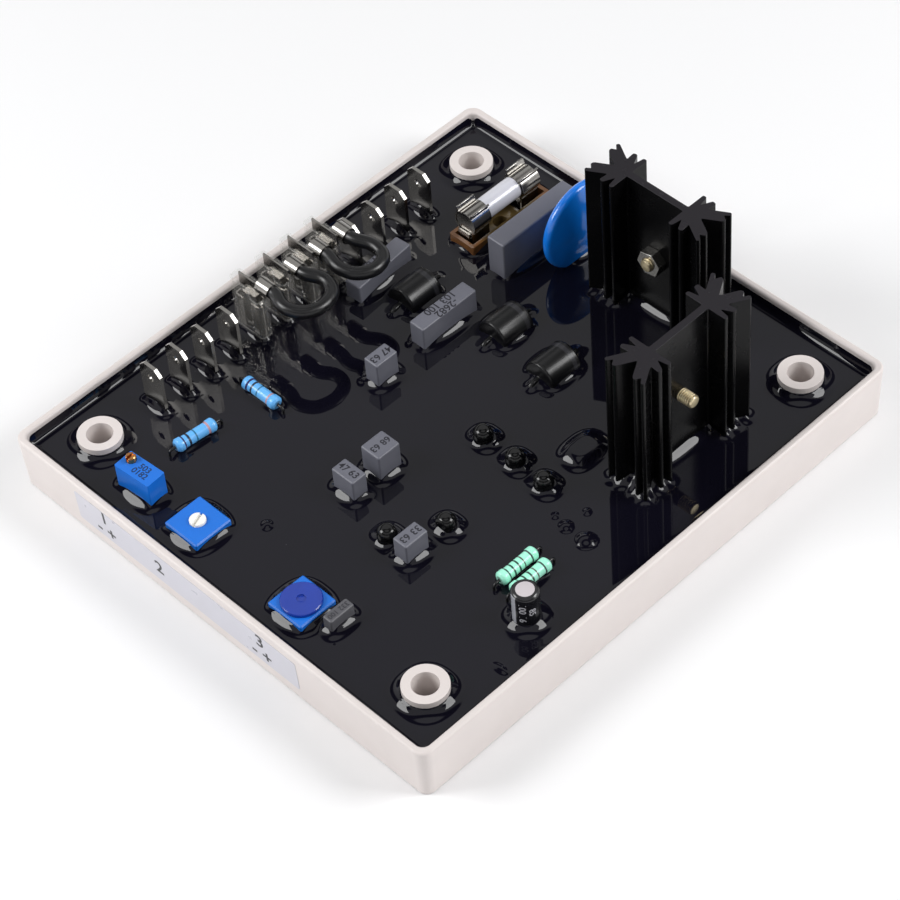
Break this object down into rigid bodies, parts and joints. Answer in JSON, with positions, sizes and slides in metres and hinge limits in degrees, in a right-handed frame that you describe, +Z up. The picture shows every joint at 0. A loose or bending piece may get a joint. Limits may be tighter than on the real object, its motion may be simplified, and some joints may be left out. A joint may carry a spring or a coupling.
{
  "type": "automatic voltage regulator",
  "caption": "Potted generator voltage regulator: a plastic tray of black resin with blade terminals, fuse, heat sinks and trimmers",
  "frame": {"origin": "middle of the tray's underside", "axes": "+Z up out of the tray, +Y along its longer side towards the fuse, +X towards the front heat sink"},
  "size_m": [0.12, 0.134, 0.0448],
  "materials": {
    "tray_plastic": "satin",
    "label_paper": "gloss",
    "board": "satin",
    "resin": "mirror gloss",
    "tinned_metal": "bright",
    "clear_sleeve": "clear soft plastic",
    "wire_black": "satin",
    "fuse_base_plastic": "gloss",
    "ceramic": "glazed",
    "capacitor_grey": "satin",
    "capacitor_dark": "satin",
    "varistor_blue": "gloss",
    "black_anodised": "black anodised",
    "black_epoxy": "satin",
    "steel": "bright",
    "resistor_blue": "gloss",
    "resistor_green": "gloss",
    "can_black": "gloss",
    "trimmer_blue": "satin",
    "knob_blue": "gloss",
    "brass": "bright",
    "rotor_white": "satin"
  },
  "bodies": {
    "housing": {"tray": "tray_plastic", "adjustment_label": "label_paper", "circuit_board": "board", "potting_resin": "resin", "terminal_tabs": "tinned_metal", "jumper_front": "wire_black", "jumper_rear": "wire_black", "fuse_holder_base": "fuse_base_plastic", "fuse_clip_front": "tinned_metal", "fuse_clip_rear": "tinned_metal", "fuse_tube": "ceramic", "fuse_caps": "tinned_metal", "suppression_capacitor": "capacitor_grey", "varistor": "varistor_blue", "heat_sink_rear": "black_anodised", "heat_sink_front": "black_anodised", "power_device_rear": "black_epoxy", "power_device_front": "black_epoxy", "device_screw_rear": "steel", "device_screw_front": "steel", "device_nut_rear": "steel", "optocoupler": "black_epoxy", "electrolytic_capacitor": "can_black", "blue_resistor_1": "resistor_blue", "blue_resistor_2": "resistor_blue", "green_resistor_1": "resistor_green", "green_resistor_2": "resistor_green", "voltage_trimmer_body": "trimmer_blue", "stability_trimmer_body": "trimmer_blue", "frequency_trimmer_body": "trimmer_blue", "flag_receptacle_1": "tinned_metal", "receptacle_sleeve_1": "clear_sleeve", "flag_receptacle_2": "tinned_metal", "receptacle_sleeve_2": "clear_sleeve", "flag_receptacle_3": "tinned_metal", "receptacle_sleeve_3": "clear_sleeve", "flag_receptacle_4": "tinned_metal", "receptacle_sleeve_4": "clear_sleeve", "film_capacitor_1": "capacitor_grey", "film_capacitor_2": "capacitor_grey", "film_capacitor_3": "capacitor_grey", "film_capacitor_4": "capacitor_grey", "film_capacitor_5": "capacitor_grey", "film_capacitor_6": "capacitor_grey", "film_capacitor_7": "capacitor_dark", "rectifier_diode_1": "black_epoxy", "rectifier_diode_2": "black_epoxy", "rectifier_diode_3": "black_epoxy", "transistor_1": "black_epoxy", "transistor_2": "black_epoxy", "transistor_3": "black_epoxy", "transistor_4": "black_epoxy", "transistor_5": "black_epoxy"},
    "voltage_adjuster": {"voltage_screw": "brass"},
    "stability_adjuster": {"stability_rotor": "rotor_white"},
    "frequency_adjuster": {"frequency_knob": "knob_blue"}
  },
  "joints": [
    {"name": "voltage_turn", "type": "hinge", "parent": "housing", "child": "voltage_adjuster", "pos_m": [-0.03415, -0.05626, 0.0167], "axis": [0, 0, 1], "continuous": true},
    {"name": "stability_turn", "type": "hinge", "parent": "housing", "child": "stability_adjuster", "pos_m": [-0.0154, -0.0558, 0.0122], "axis": [0, 0, 1], "range_deg": [-150, 150]},
    {"name": "frequency_turn", "type": "hinge", "parent": "housing", "child": "frequency_adjuster", "pos_m": [0.01485, -0.0557, 0.012], "axis": [0, 0, 1], "range_deg": [-140, 140]}
  ]
}
